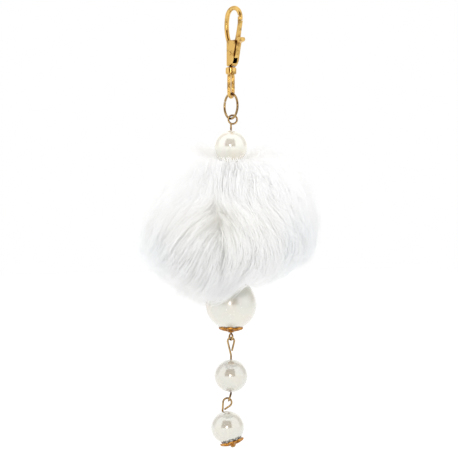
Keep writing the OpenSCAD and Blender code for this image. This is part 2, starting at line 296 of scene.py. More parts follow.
def pearl_look(name, painted_light_level, haze):
    """Lustrous pearl coat: cream ground, drifting pink and green tints, small pits. A level given for each
    pearl scales the tints as painted light, paler on the top pearl and darker on the lower ones, and haze is
    its least roughness."""
    m = Nodes(name)
    drift = m.noise(95, 3, 0.5, warp=0.6)
    tint = m.ramp(drift, "Fac", [(at, rgb(*(painted_light_level * level for level in levels)))
                                 for at, levels in PEARL_TINTS])
    m.link(tint, "Color", m.bsdf, "Base Color")
    m.set(Metallic=0.27, IOR=2.2, Coat_Weight=0.6, Coat_Roughness=0.05, Coat_IOR=1.5,
          Sheen_Weight=0.1, Sheen_Roughness=0.4)
    cloud = m.noise(1400, 4, 0.6)
    shine = m.spread(cloud, "Fac", haze, haze + 0.08)
    m.link(shine, "Result", m.bsdf, "Roughness")
    m.bump(cloud, "Fac", 0.08, 0.00002)
    return m.mat


def plain_fibre(name, colour, rough, sheen):
    m = Nodes(name)
    m.set(Base_Color=colour, Roughness=rough, Sheen_Weight=sheen, Sheen_Roughness=0.5,
          IOR=1.4, Specular_IOR_Level=0.35)
    return m.mat


def cloth_look(name, light, dark, scale, depth):
    """Knitted or twisted cloth: fine crossed loops with drifting colour."""
    m = Nodes(name)
    drift = m.noise(180, 4, 0.6)
    loops = m.add("ShaderNodeTexVoronoi", feature="F1")
    loops.inputs["Scale"].default_value = scale
    m.link(m.place((1, 1, 1.6)), "Vector", loops, "Vector")
    mixed = m.add("ShaderNodeMath", operation="MULTIPLY_ADD")
    m.link(drift, "Fac", mixed, 0)
    mixed.inputs[1].default_value = 0.7
    m.link(loops, "Distance", mixed, 2)
    tint = m.ramp(mixed, "Value", [(0.25, light), (0.95, dark)])
    m.link(tint, "Color", m.bsdf, "Base Color")
    m.set(Sheen_Weight=0.4, Sheen_Roughness=0.5, Specular_IOR_Level=0.25)
    rough = m.spread(drift, "Fac", 0.75, 0.95)
    m.link(rough, "Result", m.bsdf, "Roughness")
    m.bump(loops, "Distance", 0.7, depth)
    return m.mat


CAST = gold("gold_cast", rgb(0.74, 0.48, 0.15), rgb(0.40, 0.24, 0.07),
            rough=0.14, grain=5200, edge=0.00022, dents=0.00006)
WIRE = gold("gold_wire", rgb(0.46, 0.31, 0.13), rgb(0.20, 0.12, 0.05),
            rough=0.16, grain=3800, grain_stretch=(1, 1, 0.15))
PRESSED = gold("gold_pressed", rgb(0.66, 0.32, 0.065), rgb(0.24, 0.10, 0.02),
               rough=0.20, grain=6000, edge=0.00012, dents=0.00005, patch=700)


def spring_look():
    m = Nodes("spring_wire")
    lay = m.noise(2600, 3, 0.6, (1, 0.2, 1))
    tint = m.ramp(lay, "Fac", [(0.3, rgb(0.42, 0.42, 0.44)), (0.7, rgb(0.62, 0.62, 0.64))])
    m.link(tint, "Color", m.bsdf, "Base Color")
    m.set(Metallic=1.0)
    m.link(m.spread(lay, "Fac", 0.25, 0.4), "Result", m.bsdf, "Roughness")
    m.bump(lay, "Fac", 0.3, 0.00002)
    return m.mat


def dress(node, material):
    ob = NODES[node]
    ob.data.materials.clear()
    ob.data.materials.append(material)


for node in ("clasp_hook_body", "clasp_gate", "clasp_gate_pin", "swivel_shackle"):
    dress(node, CAST)
for node in ("jump_ring", "main_eye_pin", "middle_eye_pin", "end_head_pin"):
    dress(node, WIRE)
for node in ("cap_large", "cap_end"):
    dress(node, PRESSED)
# Each pearl's level paints light and shade into its colour: the top pearl paler, the lower ones darker.
for node, painted_light_level, haze in (("bead_top", 1.12, 0.08), ("bead_large", 0.93, 0.2), ("bead_middle", 0.88, 0.08),
                         ("bead_end", 0.89, 0.08)):
    dress(node, pearl_look("pearl_" + node, painted_light_level, haze))
dress("clasp_gate_spring", spring_look())


def make_closing_coil():
    """The closing spring, which sits between the back of its slot and the gate: a copy of the CAD spring,
    carried with the clasp.
    """
    ob = bpy.data.objects.new("closing_coil", NODES["clasp_gate_spring"].data.copy())
    scene.collection.objects.link(ob)
    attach(ob, "clasp")
    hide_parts("clasp_gate_spring")
    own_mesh(ob)


make_closing_coil()


# ---------------------------------------------------------------- places from the CAD

def middle(node):
    lo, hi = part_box(node)
    return np.array((lo + hi) / 2), np.array(hi - lo) / 2


def pearl_at(node):
    centre, half = middle(node)
    return centre, float(half.max())


BALL = np.array(JOINTS["pompom_turn"]["pos_m"], float)
TOP_PEARL, TOP_R = pearl_at("bead_top")
LOW_PEARL, LOW_R = pearl_at("bead_large")
CORE_R = middle("pompom_backing")[1][0] / MM
BALL_R = middle("pompom_fur")[1][0] / MM


def to_row(points):
    """From the ball's view frame in millimetres to the row frame in metres."""
    return points @ VIEW_TO_ROW * MM + BALL


PEARLS = [
    (np.array([0.0, (TOP_PEARL[2] - BALL[2]) / MM, 0.0]), TOP_R / MM),
    (np.array([0.0, (LOW_PEARL[2] - BALL[2]) / MM, 0.0]), LOW_R / MM),
]

# ---------------------------------------------------------------- the fur's shape and lie

# The ball hangs a little to the left of its pin.
LEAN = np.array([-1.9, 0.0, 0.0])
# How far the pile reaches, in millimetres, at angles round the front, from the right through the top.
REACH_AT = [0, 45, 90, 135, 176, 201, 221, 234, 247, 257, 266, 272, 285, 296, 302, 313, 325, 335, 348]
REACH = [38.0, 37.8, 36.1, 37.8, 38.0, 39.9, 39.8, 39.2, 39.8, 39.2, 36.6, 33.8, 30.8, 30.8, 31.6, 32.8,
         35.3, 36.8, 37.8]
# The same towards the front and the back, the dip round the top pearl, and the hollow in the parting.
DEPTH_REACH = 36.5
TOP_DIP = 9.5
HOLLOW_DEEP = 6.5
# The parting: it starts at height PART_B, PART_A from the middle, and slants to the right as it goes down.
PART_A, PART_B, PART_SLANT = -5.0, 9.0, 0.21


def bell(x, width):
    return np.exp(-(x / width) ** 2)


def step(x, width):
    return 1 / (1 + np.exp(-np.clip(x / width, -40, 40)))


def parting(y):
    return PART_A + PART_SLANT * np.clip(PART_B - y, 0, 22)


def reach(u):
    """How far the pile reaches from the leaning centre, along unit directions u."""
    a, b, c = u[..., 0], u[..., 1], u[..., 2]
    around = np.degrees(np.arctan2(b, a)) % 360
    rim = np.interp(around, REACH_AT, REACH, period=360)
    far = DEPTH_REACH + (rim - DEPTH_REACH) * (a * a + b * b)
    front = np.clip(c * 4, 0, 1)
    # A dip round the top pearl, for the front only.
    polar = np.arccos(np.clip(b, -1, 1))
    far = far - TOP_DIP * bell(polar - 0.25, 0.42) * (0.5 + 0.5 * np.tanh(c / 0.15))
    # The hollow widens down from the parting's start, and fades out.
    x, y = a * BALL_R, b * BALL_R
    down = PART_B - y
    width = 2.0 + 0.22 * np.clip(down, 0, 30)
    fall = step(down + 0.5, 1.2) * bell(np.clip(down - 9, 0, None), 8.0)
    hollow = HOLLOW_DEEP * fall * bell(x - parting(y), width)
    wisps = 0.35 * np.sin(9 * a + 4 * b) + 0.3 * np.sin(13 * b - 6 * c + 1) + 0.25 * np.sin(17 * c + 8 * a)
    return far - hollow * front + wisps


def lie(u):
    """Which way the pile is combed at unit directions u: it falls from the top pearl, parts at the front
    and fans out from the parting, so that the ends stand off the lower half."""
    a, b, c = u[..., 0], u[..., 1], u[..., 2]
    x, y, z = a * BALL_R, b * BALL_R, c * BALL_R
    front = np.clip(c * 3, 0, 1)
    back = np.clip(-c * 3, 0, 1)
    low = step(6 - y, 3.0)
    high_part = 1.15 * np.tanh((x - parting(y)) / 2.2) * step(PART_B + 1 - y, 1.5)
    # Further down it all swings to the left, but for the right edge.
    low_part = -0.38 + 0.63 * step(x - 14, 4.0) + 0.035 * np.minimum(x + 5, 0)
    part = front * (high_part + (low_part - high_part) * step(-7 - y, 5.0)) + (1 - front) * 0.03 * x * low
    # At the back it parts to both sides of a line of its own.
    part += 0.9 * np.tanh((x - 7) / 4.0) * bell(y - 12, 15.0) * back
    swirl_a = 0.13 * np.sin(5 * b + 3 * c + 0.7) + 0.10 * np.sin(9 * a - 4 * c)
    swirl_c = 0.20 * np.sin(6 * a + 2 * b) + 0.14 * np.sin(8 * b + 5 * c + 2.0)
    d = np.stack([part + swirl_a, -np.ones_like(a), (swirl_c + 0.028 * z * low) * (1 - 0.7 * front)], -1)
    out = (d * u).sum(-1, keepdims=True)
    stand_off = (0.8 * np.clip(-1.4 * b, 0, 1) * (1 - c * c) ** 2)[..., None] * (out > 0)
    return unit(d - (1 - stand_off) * out * u)


def clear_of_pearls(points, room):
    """Moves points that are in a pearl out to its surface, plus room."""
    for centre, radius in PEARLS:
        off = points - centre
        far = np.linalg.norm(off, axis=-1, keepdims=True)
        points = np.where(far < radius + room, centre + off / np.maximum(far, 1e-9) * (radius + room), points)
    return points


def even_directions(n, rng, shake):
    """n directions spread evenly over a ball, each moved a little."""
    k = np.arange(n) + 0.5
    b = 1 - 2 * k / n
    turn = np.pi * (1 + 5 ** 0.5) * k
    r = np.sqrt(1 - b * b)
    u = np.stack([r * np.cos(turn), b, r * np.sin(turn)], 1)
    return unit(u + rng.normal(0, shake, u.shape))


# How many steps a hair grows in.
GROW_STEPS = 12
# Room that a lock's middle line leaves round a pearl, room that each hair leaves, and how far a hair in the
# upper half can be pushed by that before it is left out, in millimetres.
GUIDE_ROOM = 0.35
HAIR_ROOM = 0.25
MOST_PUSHED = 0.3
# How strongly a hair keeps to its root's direction, gives in to the lie of the pile at its root, stands off
# and sags, all beside the lie's full pull of about 1 at its tip.
ROOT_PULL = 1.3
LIE_AT_ROOT = 0.30
STAND_PULL = 0.8
SAG = 0.15
# The heights in a unit direction below which a hair can end early: in the fringe round the lower pearl, and
# in the lower half.
FRINGE_B = -0.90
LOWER_B = -0.2


def grow(roots, lengths, share, stand):
    """Hairs from roots on the core: out, then over into the lie of the pile, kept inside share of reach.
    Also gives how much of its length each hair makes before it comes to a stop at the edge."""
    points = [roots * CORE_R]
    stride = lengths / GROW_STEPS
    going = np.ones(len(roots), bool)
    made = np.zeros(len(roots))
    for i in range(GROW_STEPS):
        t = (i + 0.5) / GROW_STEPS
        last = points[-1]
        u = unit(last - LEAN)
        way = roots * ROOT_PULL * (1 - t) ** 1.2 + lie(u) * (LIE_AT_ROOT + t) * (1 - stand)[:, None]
        way = way + u * stand[:, None] * STAND_PULL + np.array([0, -SAG * t, 0])
        at = last + unit(way) * stride[:, None]
        off = at - LEAN
        far = np.linalg.norm(off, axis=-1)
        most = reach(unit(off)) * share
        at = LEAN + off * (np.minimum(far, most) / far)[:, None]
        at = clear_of_pearls(at, GUIDE_ROOM)
        # On the lower half a hair ends where it would slide along the edge.
        slides = (np.linalg.norm(at - last, axis=-1) < 0.5 * stride) | ((far > most) & (u[:, 1] < FRINGE_B))
        going &= ~(slides & (u[:, 1] < LOWER_B))
        made += going
        points.append(np.where(going[:, None], at, last))
    return np.stack(points, 1), np.maximum(made, 3) / GROW_STEPS


def bring_along(lines, first):
    """Two directions across each hair at each point, carried along it without twist."""
    ahead = heading(lines)
    one = carry(ahead, across_of(first, ahead[:, 0]))
    return one, np.cross(ahead, one)


def along(lines, t):
    """Points on lines (n, k, 3) at shares t (n, m) of their length."""
    k = lines.shape[1] - 1
    at = np.clip(t * k, 0, k - 1e-6)
    low = at.astype(int)
    part = (at - low)[..., None]
    rows = np.arange(len(lines))[:, None]
    return lines[rows, low] * (1 - part) + lines[rows, low + 1] * part


# Locks of hair, hairs in each, hairs on their own, points along a hair, and pieces the pile is split into.
LOCKS = 4300
HAIRS_A_LOCK = 16
LOOSE = 3600
RINGS = 6
PIECES = 12
# Each hair starts within this distance of its lock's middle, in millimetres.
LOCK_R = 1.6
# Lengths in millimetres: in locks, how much more of it on the lower half, and on their own.
LOCK_LENGTH = (25, 33)
LOWER_LENGTH = 6.0
LOOSE_LENGTH = (24, 36)
# Radii in millimetres: in locks, and on their own.
LOCK_HAIR_R = (0.050, 0.090)
LOOSE_HAIR_R = (0.035, 0.06)
# The shares of reach that locks grow to, and how many grow to each.
LOCK_REACH = [0.84, 0.90, 0.95, 0.985, 1.0]
LOCK_REACH_ODDS = [0.12, 0.2, 0.25, 0.25, 0.18]
# Locks that stay below this share are deep in the pile; lower down they get a cream tone that paints shade.
DEEP_SHARE = 0.93
# A hair's thickness along it, as shares of its full radius.
HAIR_PROFILE = np.array([0.85, 1.0, 1.0, 0.9, 0.6, 0.1])


def fur_lines(rng):
    """The middle line of every hair, its thickness and its tone."""
    roots = even_directions(LOCKS, rng, 0.02)
    roots = roots[(np.abs(roots[:, 1]) < 0.975) & ((roots[:, 1] < 0.93) | (roots[:, 2] < 0))]
    n = len(roots)
    lengths = rng.uniform(*LOCK_LENGTH, n) + LOWER_LENGTH * np.clip(0.4 - 2 * roots[:, 1], 0, 1)
    share = rng.choice(LOCK_REACH, n, p=LOCK_REACH_ODDS)
    # Lower down the ends come closer to the edge, and hang unevenly round the lower pearl.
    share = np.where(roots[:, 1] < 0.1, 1 - 0.5 * (1 - share), share)
    share = share * np.where(roots[:, 1] < -0.75, rng.uniform(0.95, 1.04, n), 1)
    top = np.clip(roots[:, 1] - 0.5, 0, 1)
    stand = np.clip(rng.normal(0.10, 0.08, n) + 0.5 * top, 0, 0.6)
    guides, made = grow(roots, lengths, share, stand)
    one, two = bring_along(guides, lie(roots))

    k = HAIRS_A_LOCK
    pick = np.repeat(np.arange(n), k)
    m = len(pick)
    spot_r = LOCK_R * np.sqrt(rng.random(m))
    spot_at = rng.random(m) * 2 * np.pi
    o1, o2 = spot_r * np.cos(spot_at), spot_r * np.sin(spot_at)
    size = 1 - rng.uniform(0, 0.32, m) * np.where(roots[pick, 1] < 0.1, 0.6, 1)
    size = size * made[pick]
    t = size[:, None] * np.linspace(0, 1, RINGS)[None]
    clump = np.repeat(rng.uniform(0.0, 0.45, n), k)[:, None]
    spread = (1 + 0.8 * np.minimum(2 * t, 1)) * (1 - clump * t ** 1.6)
    mid = along(guides[pick], t)
    lines = mid + (o1[:, None] * spread)[..., None] * along(one[pick], t)
    lines = lines + (o2[:, None] * spread)[..., None] * along(two[pick], t)
    phase = t * rng.uniform(2, 5, (m, 1)) + rng.random((m, 1)) * 6
    lines = lines + rng.normal(0, 0.16, (m, 1, 3)) * (np.sin(phase) * t)[..., None]

    loose = even_directions(LOOSE, rng, 0.05)
    loose = loose[(loose[:, 1] > -0.96) & (loose[:, 1] < 0.8)]
    q = len(loose)
    long, stop, stand = rng.uniform(*LOOSE_LENGTH, q), rng.uniform(0.97, 1.05, q), rng.uniform(0.1, 0.6, q)
    stray, made = grow(loose, long, stop, stand)
    stray = along(stray, made[:, None] * np.linspace(0, 1, RINGS)[None])
    stray = stray + rng.normal(0, 0.8, (q, 1, 3)) * np.linspace(0, 1, RINGS)[None, :, None] ** 2

    lines = np.concatenate([lines, stray])
    thick = np.concatenate([rng.uniform(*LOCK_HAIR_R, m), rng.uniform(*LOOSE_HAIR_R, q)])
    deep_shade = np.concatenate([np.repeat(share < DEEP_SHARE, k), np.zeros(q, bool)])
    clear = clear_of_pearls(lines, HAIR_ROOM)
    pushed = np.linalg.norm(clear - lines, axis=-1).max(1)
    # No hair is bent up round the pearl in the crown.
    keep = (pushed < MOST_PUSHED) | (lines[:, 0, 1] < 0)
    return clear[keep], thick[keep], tones(clear[keep], deep_shade[keep], rng)


# Places of the tones in FIBRES.
WHITE, COOL, MILK, SHADE_GREY, CREAM_SHADE = range(5)


def tones(lines, deep_shade, rng):
    """Tones with painted light and shade: white above as painted light, greyer below as painted shade, cool
    at the sides, and cream in the hollow and deep in the pile, which paints shade there besides the
    underfur's cream.
    """
    mid = lines[:, RINGS // 2]
    n = len(mid)
    pick = rng.random(n)
    # Painted light: every hair at the top front gets the whitest tone, so the top reads as lit.
    tone = np.where((pick < 0.5) | ((mid[:, 1] > 9) & (mid[:, 2] > 0)), WHITE, MILK)
    # Painted shade: hairs are more often grey the lower they are.
    tone = np.where(rng.random(n) < np.clip(-mid[:, 1] / 16, 0, 1), SHADE_GREY, tone)
    side = np.clip((np.abs(mid[:, 0] - LEAN[0]) - 21) / 14, 0, 0.42) * step(4 - mid[:, 1], 2.5)
    tone = np.where(rng.random(n) < side, COOL, tone)
    # Painted shade, with the underfur's cream: cream hairs in the hollow under the parting.
    hollow_shade = bell(mid[:, 0] - parting(mid[:, 1]), 4.5) * bell(np.minimum(mid[:, 1] - 2, 0), 11.0)
    hollow_shade = hollow_shade * (mid[:, 1] < PART_B) * (mid[:, 2] > 0)
    tone = np.where(rng.random(n) < hollow_shade, CREAM_SHADE, tone)
    # Painted shade, with the underfur's cream: cream for the lower locks deep in the pile.
    return np.where(deep_shade & (mid[:, 1] < 6), CREAM_SHADE, tone)


FIBRES = [
    plain_fibre("pile_white", rgb(0.999, 0.999, 0.999), 0.55, 0.15),
    plain_fibre("pile_cool", rgb(0.925, 0.943, 0.957), 0.60, 0.15),
    plain_fibre("pile_milk", rgb(0.995, 0.993, 0.988), 0.55, 0.15),
    # Painted shade: this grey tone darkens the lower pile.
    plain_fibre("pile_shade_grey", rgb(0.948, 0.951, 0.949), 0.50, 0.15),
    # Painted shade and the underfur's cream: this tone darkens the hollow and the deep pile.
    plain_fibre("pile_cream_and_shade", rgb(0.925, 0.920, 0.895), 0.65, 0.10),
]


def make_fur():
    rng = np.random.default_rng(42)
    lines, thick, tone = fur_lines(rng)
    row = to_row(lines)
    order = np.argsort(np.arctan2(lines[:, 2, 2], lines[:, 2, 0]))
    for s, mine in enumerate(np.array_split(order, PIECES)):
        verts, tris, per = tubes(row[mine], thick[mine][:, None] * HAIR_PROFILE * MM, 3, taper=True)
        # Flat faces: smooth ones swallow light on so few sides.
        ob = mesh_object(f"pile_{s + 1:02d}", verts, tris, smooth=False, slots=np.repeat(tone[mine], per))
        for material in FIBRES:
            ob.data.materials.append(material)
        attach(ob, "pompom")
        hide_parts("pompom_fur")


make_fur()


def undercoat_look():
    m = Nodes("pile_under")
    fine = m.noise(900, 5, 0.65, (1, 1, 0.25), warp=0.5)
    tint = m.ramp(fine, "Fac", [(0.3, rgb(0.95, 0.94, 0.92)), (0.7, rgb(0.985, 0.98, 0.97))])
    m.link(tint, "Color", m.bsdf, "Base Color")
    m.set(Sheen_Weight=0.4, Sheen_Roughness=0.5, Specular_IOR_Level=0.2)
    m.link(m.spread(fine, "Fac", 0.7, 0.95), "Result", m.bsdf, "Roughness")
    m.bump(fine, "Fac", 0.8, 0.0004)
    return m.mat


# The undercoat: its share of reach, its room round a pearl and the radius of the way through for the pin, in
# millimetres, and how far from each pole its surface starts, as an angle.
UNDER_SHARE = 0.80
UNDER_ROOM = 0.8
UNDER_BORE_R = 0.75
UNDER_POLE = 0.035


def make_undercoat():
    """Dense short pile close to the backing: a closed shell with a way through for the pin."""
    lats, lons = 150, 300
    polar = np.linspace(UNDER_POLE, np.pi - UNDER_POLE, lats)[:, None]
    turn = np.linspace(0, 2 * np.pi, lons, endpoint=False)[None]
    u = np.stack([np.sin(polar) * np.cos(turn), np.cos(polar) + 0 * turn, np.sin(polar) * np.sin(turn)], -1)
    far = reach(u) * UNDER_SHARE
    locks = 0.5 * np.sin(23 * turn + 6 * np.sin(3 * polar)) * np.sin(polar) ** 2
    tufts = 0.35 * np.sin(41 * polar + 3 * np.sin(5 * turn))
    far = far + locks + tufts * np.sin(polar)
    for centre, radius in PEARLS:
        d = abs(centre[1])
        cosine = u[..., 1] * np.sign(centre[1])
        room = radius + UNDER_ROOM
        inside = room ** 2 - d * d * (1 - cosine ** 2)
        entry = d * cosine - np.sqrt(np.clip(inside, 0, None)) - 0.2
        far = np.where((inside > 0) & (cosine > 0), np.minimum(far, entry), far)
    for _ in range(3):
        far[1:-1] = (far[:-2] + 2 * far[1:-1] + far[2:]) / 4
        far = (np.roll(far, 1, 1) + 2 * far + np.roll(far, -1, 1)) / 4
    shell = u * far[..., None] + LEAN * np.sin(polar)[..., None] ** 2
    walls = []
    for b in np.linspace(shell[-1, 0, 1], shell[0, 0, 1], 14)[1:-1]:
        across = UNDER_BORE_R * np.cos(turn[0]), UNDER_BORE_R * np.sin(turn[0])
        walls.append(np.stack([across[0], np.full(lons, b), across[1]], -1))
    grid = np.concatenate([shell, np.array(walls)])
    rows = len(grid)
    i, j = np.meshgrid(np.arange(rows), np.arange(lons), indexing="ij")
    a = i * lons + j
    b = i * lons + (j + 1) % lons
    c = ((i + 1) % rows) * lons + (j + 1) % lons
    d = ((i + 1) % rows) * lons + j
    tris = np.concatenate([np.stack([a, b, c], -1).reshape(-1, 3), np.stack([a, c, d], -1).reshape(-1, 3)])
    ob = mesh_object("pile_undercoat", to_row(grid.reshape(-1, 3)), tris)
    bm = bmesh.new()
    bm.from_mesh(ob.data)
    bmesh.ops.recalc_face_normals(bm, faces=bm.faces)
    bm.to_mesh(ob.data)
    bm.free()
    ob.data.materials.append(undercoat_look())
    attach(ob, "pompom")
    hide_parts("pompom_fur")


make_undercoat()


# ---------------------------------------------------------------- stuffed core and its threads

# The gathered core, in millimetres: how much smaller it starts than the backing, across and in height, its
# necks, and how far the simulation may swell it.
CORE_IN, CORE_SHORT = 1.2, 0.4
NECK_R = 3.9
NECK_LONG = 4.5
SWELL = 0.9
CLOTH_FRAMES = 12
PLEATS = 18


def make_core():
    """The gathered knitted bag with its filling: a ball with a neck at each end, swelled by cloth
    simulation, and pleated towards its necks."""
    centre, half = middle("pompom_backing")
    r, h = half[0] / MM - CORE_IN, half[2] / MM - CORE_SHORT
    bm = bmesh.new()
    lats, lons = 48, 64
    loops = []
    for i in range(lats):
        t = math.pi * (i + 0.5) / lats
        z = math.cos(t) * h
        x = max(math.sqrt(max(r * r - z * z, 0)), NECK_R)
        turns = [2 * math.pi * k / lons for k in range(lons)]
        loops.append([bm.verts.new((x * math.cos(turn), x * math.sin(turn), z)) for turn in turns])
    for lower, upper in zip(loops, loops[1:]):
        for k in range(lons):
            bm.faces.new((lower[k], lower[(k + 1) % lons], upper[(k + 1) % lons], upper[k]))
    for loop, z in ((loops[0], h), (loops[-1], -h)):
        tip = bm.verts.new((0, 0, z))
        for k in range(lons):
            bm.faces.new((loop[k], loop[(k + 1) % lons], tip))
    bmesh.ops.recalc_face_normals(bm, faces=bm.faces)
    for v in bm.verts:
        v.co = v.co * MM + Vector(centre)
    me = bpy.data.meshes.new("stuffed_core")
    bm.to_mesh(me)
    bm.free()
    ob = bpy.data.objects.new("stuffed_core", me)
    scene.collection.objects.link(ob)
    bpy.context.view_layer.objects.active = ob
    remesh = ob.modifiers.new("remesh", "REMESH")
    remesh.mode = "VOXEL"
    remesh.voxel_size = 0.0013
    apply_all(ob)
    before = points_of(ob)
    pins = ob.vertex_groups.new(name="pins")
    held = [i for i, p in enumerate(before) if abs(p[2] - centre[2]) > (h - NECK_LONG) * MM]
    pins.add(held, 1.0, "REPLACE")
    cloth = ob.modifiers.new("cloth", "CLOTH")
    s = cloth.settings
    s.vertex_group_mass = "pins"
    s.use_pressure = True
    s.uniform_pressure_force = 4.0
    s.effector_weights.gravity = 0.0
    s.quality = 6
    cloth.collision_settings.use_collision = False
    scene.frame_start, scene.frame_end = 1, CLOTH_FRAMES
    for f in range(1, CLOTH_FRAMES + 1):
        scene.frame_set(f)
    apply_all(ob)
    scene.frame_set(1)
    after = points_of(ob)
    move = after - before
    far = np.linalg.norm(move, axis=1, keepdims=True)
    after = before + move * np.minimum(1, SWELL * MM / np.maximum(far, 1e-9))
    off = after - centre
    turn = np.arctan2(off[:, 1], off[:, 0])
    flat = np.linalg.norm(off[:, :2], axis=1) / MM
    near_neck = bell(flat - NECK_R - 1.0, 5.0)
    pleat = 0.45 * np.cos(PLEATS * turn) * near_neck * (flat > NECK_R)
    off[:, :2] *= (1 + pleat / np.maximum(flat, 1.0))[:, None]
    ob.data.vertices.foreach_set("co", (off + centre).astype(np.float32).ravel())
    ob.data.update()
    for p in ob.data.polygons:
        p.use_smooth = True
    ob.data.materials.append(KNIT)
    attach(ob, "pompom")
    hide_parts("pompom_backing", "pompom_stuffing")


def apply_all(ob):
    bpy.context.view_layer.update()
    dg = bpy.context.evaluated_depsgraph_get()
    me = bpy.data.meshes.new_from_object(ob.evaluated_get(dg))
    old = ob.data
    ob.modifiers.clear()
    ob.data = me
    bpy.data.meshes.remove(old)


def points_of(ob):
    co = np.zeros(len(ob.data.vertices) * 3, np.float32)
    ob.data.vertices.foreach_get("co", co)
    return co.reshape(-1, 3).astype(float)


KNIT = cloth_look("backing_knit", rgb(0.90, 0.88, 0.83), rgb(0.74, 0.71, 0.66), scale=1500, depth=0.0002)
make_core()


# Turns of the thread's plies, how far each is out from its middle, and each one's radius, both as shares of
# the thread's.
LAY = 26
PLY_OUT = 0.45
PLY_R = 0.5


def make_thread(node, name):
    """Two-ply gathering thread, drawn tight round the neck of the backing."""
    centre, half = middle(node)
    bar = half[2]
    ring = half[0] - bar
    n, plies = 220, 2
    at = np.linspace(0, 2 * np.pi, n, endpoint=False)
    lines = []
    for ply in range(plies):
        lay = LAY * at + ply * np.pi
        r = ring + PLY_OUT * bar * np.cos(lay)
        lines.append(np.stack([r * np.cos(at), r * np.sin(at), PLY_OUT * bar * np.sin(lay)], -1) + centre)
    verts, tris, _ = tubes(np.array(lines), np.full(n, PLY_R * bar), 8, closed=True)
    ob = mesh_object(name, verts, tris)
    ob.data.materials.append(THREAD)
    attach(ob, "pompom")
    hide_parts(node)


THREAD = cloth_look("thread_cotton", rgb(0.90, 0.86, 0.78), rgb(0.72, 0.68, 0.60), scale=2600, depth=0.00008)
make_thread("pompom_thread_top", "gather_thread_top")
make_thread("pompom_thread_bottom", "gather_thread_bottom")


# ---------------------------------------------------------------- granulation on the bead caps

# The caps, in millimetres: the sphere that their inside was pressed to, their sheet, and the gap above them.
CAP_IN_R = 11.15
CAP_T = 0.6
CAP_GAP = 0.15
PETALS = 8
# The wire round each petal: distance of its middle from the hub's axis, half its length and width, and its
# radius. Then the ring round the hub, and how far wires and grains are lifted off the cap.
LOOP_AT, LOOP_LONG, LOOP_WIDE, LOOP_R = 3.75, 1.12, 0.98, 0.17
RING_AT, RING_R = 1.55, 0.18
WIRE_LIFT, GRAIN_LIFT = 0.02, 0.03
# Rows of grains: distance from the hub's axis, grain radius, and place from one petal to the next.
GRAINS = ((1.95, 0.20, 0.5), (3.05, 0.17, 0.5), (4.35, 0.16, 0.42), (4.35, 0.16, 0.58))


def make_beading(body, name, pole, axis, first):
    """Raised wire round each petal and grains between them, on the outside of a pressed cap. pole is the
    centre of the sphere it was pressed to, axis points from there to the cap's hub, and first to a petal."""
    outside = (CAP_IN_R + CAP_T) * MM
    axis = unit(np.array(axis, float))
    second = np.cross(axis, first)

    def on_cap(r, turn, lift):
        r, turn = np.asarray(r, float) * MM, np.asarray(turn, float)
        down = np.sqrt((outside + lift) ** 2 - r ** 2)
        flat = (r * np.cos(turn))[..., None] * first + (r * np.sin(turn))[..., None] * second
        return pole + flat + down[..., None] * axis

    parts = []
    loops = []
    t = np.linspace(0, 2 * np.pi, 40, endpoint=False)
    for k in range(PETALS):
        mid = 2 * np.pi * k / PETALS
        a, b = LOOP_AT + LOOP_LONG * np.cos(t), LOOP_WIDE * np.sin(t)
        loops.append(on_cap(np.hypot(a, b), mid + np.arctan2(b, a), WIRE_LIFT * MM))
    parts.append(tubes(np.array(loops), np.full(len(t), LOOP_R * MM), 8, closed=True)[:2])
    t = np.linspace(0, 2 * np.pi, 48, endpoint=False)
    ring = on_cap(np.full(len(t), RING_AT), t, WIRE_LIFT * MM)
    parts.append(tubes(ring[None], np.full(len(t), RING_R * MM), 8, closed=True)[:2])
    verts, tris, start = [], [], 0
    for v, f in parts:
        verts.append(v)
        tris.append(f + start)
        start += len(v)
    bm = bmesh.new()
    for k in range(PETALS):
        for r, size, shift in GRAINS:
            spot = on_cap(r, 2 * np.pi * (k + shift) / PETALS, GRAIN_LIFT * MM)
            place = Matrix.Translation(Vector(spot))
            bmesh.ops.create_icosphere(bm, subdivisions=2, radius=size * MM, matrix=place)
    bmesh.ops.triangulate(bm, faces=bm.faces)
    bm.verts.index_update()
    verts.append(np.array([v.co for v in bm.verts]))
    tris.append(np.array([[v.index for v in f.verts] for f in bm.faces]) + start)
    bm.free()
    ob = mesh_object(name, np.concatenate(verts), np.concatenate(tris))
    ob.data.materials.append(PRESSED)
    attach(ob, body)


END_AXIS = unit(np.array(JOINTS["end_pearl_turn"]["axis"], float))
END_CENTRE = np.array(JOINTS["end_pearl_turn"]["pos_m"], float)
make_beading("large_cap", "cap_large_beading",
             LOW_PEARL + UP * (-LOW_R / MM - CAP_GAP + CAP_IN_R) * MM, -UP, np.array([1.0, 0.0, 0.0]))
make_beading("end_cap", "cap_end_beading",
             END_CENTRE + END_AXIS * (-TOP_R / MM - CAP_GAP + CAP_IN_R) * MM, -END_AXIS,
             unit(RIGHT - (RIGHT @ END_AXIS) * END_AXIS))


# ---------------------------------------------------------------- floor, light and camera

# How far below the chain the floor is, in metres.
FLOOR_BELOW = 0.03


def make_floor():
    z = CAD_BOX[0].z - FLOOR_BELOW
    bpy.ops.mesh.primitive_plane_add(size=8, location=(0, 0, z))
    floor = bpy.context.object
    floor.name = "studio_floor"
    m = Nodes("studio_floor")
    fine = m.noise(30, 3, 0.5)
    tint = m.ramp(fine, "Fac", [(0.3, rgb(0.93, 0.93, 0.93)), (0.7, rgb(0.95, 0.95, 0.95))])
    m.link(tint, "Color", m.bsdf, "Base Color")
    m.set(Roughness=0.9, Specular_IOR_Level=0.1, Emission_Color=rgb(1, 1, 1), Emission_Strength=0.12)
    floor.data.materials.append(m.mat)


make_floor()


